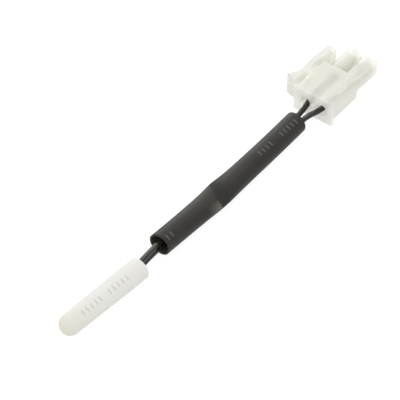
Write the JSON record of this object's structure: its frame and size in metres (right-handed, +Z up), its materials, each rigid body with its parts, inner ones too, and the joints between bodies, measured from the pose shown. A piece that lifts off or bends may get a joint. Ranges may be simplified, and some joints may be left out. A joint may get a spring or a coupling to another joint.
{
  "type": "thermistor",
  "caption": "Temperature probe: round-tipped white bulb on a short black-sleeved lead, with a translucent latching socket housing at its other end.",
  "frame": {"origin": "middle of the socket housing's underside, on the surface that the probe lies on", "axes": "+X along the lead and the contacts, towards the mating end; +Y towards the latch lever; +Z up"},
  "size_m": [0.1456, 0.0201, 0.0087],
  "materials": {
    "bulb_plastic": "satin moulded, off-white",
    "potting_resin": "cast, dull",
    "bead_coating": "dipped resin",
    "tinned_lead": "tinned wire",
    "solder": "bright solder",
    "joint_tubing": "thin clear tubing",
    "wire_insulation": "extruded black vinyl, satin",
    "copper_strands": "bare copper",
    "sleeve_vinyl": "soft black vinyl tube, satin",
    "natural_nylon": "uncoloured moulded nylon, translucent",
    "tinned_brass": "tinned"
  },
  "bodies": {
    "root": {"bulb_cap": "bulb_plastic", "potting": "potting_resin", "thermistor_bead": "bead_coating", "bead_lead_a": "tinned_lead", "bead_lead_b": "tinned_lead", "solder_joint_a": "solder", "solder_joint_b": "solder", "joint_tube_a": "joint_tubing", "joint_tube_b": "joint_tubing", "wire_jacket_a": "wire_insulation", "wire_jacket_b": "wire_insulation", "wire_core_a": "copper_strands", "wire_core_b": "copper_strands", "outer_sleeve": "sleeve_vinyl", "connector_housing": "natural_nylon", "terminal_a": "tinned_brass", "terminal_b": "tinned_brass"}
  },
  "joints": []
}
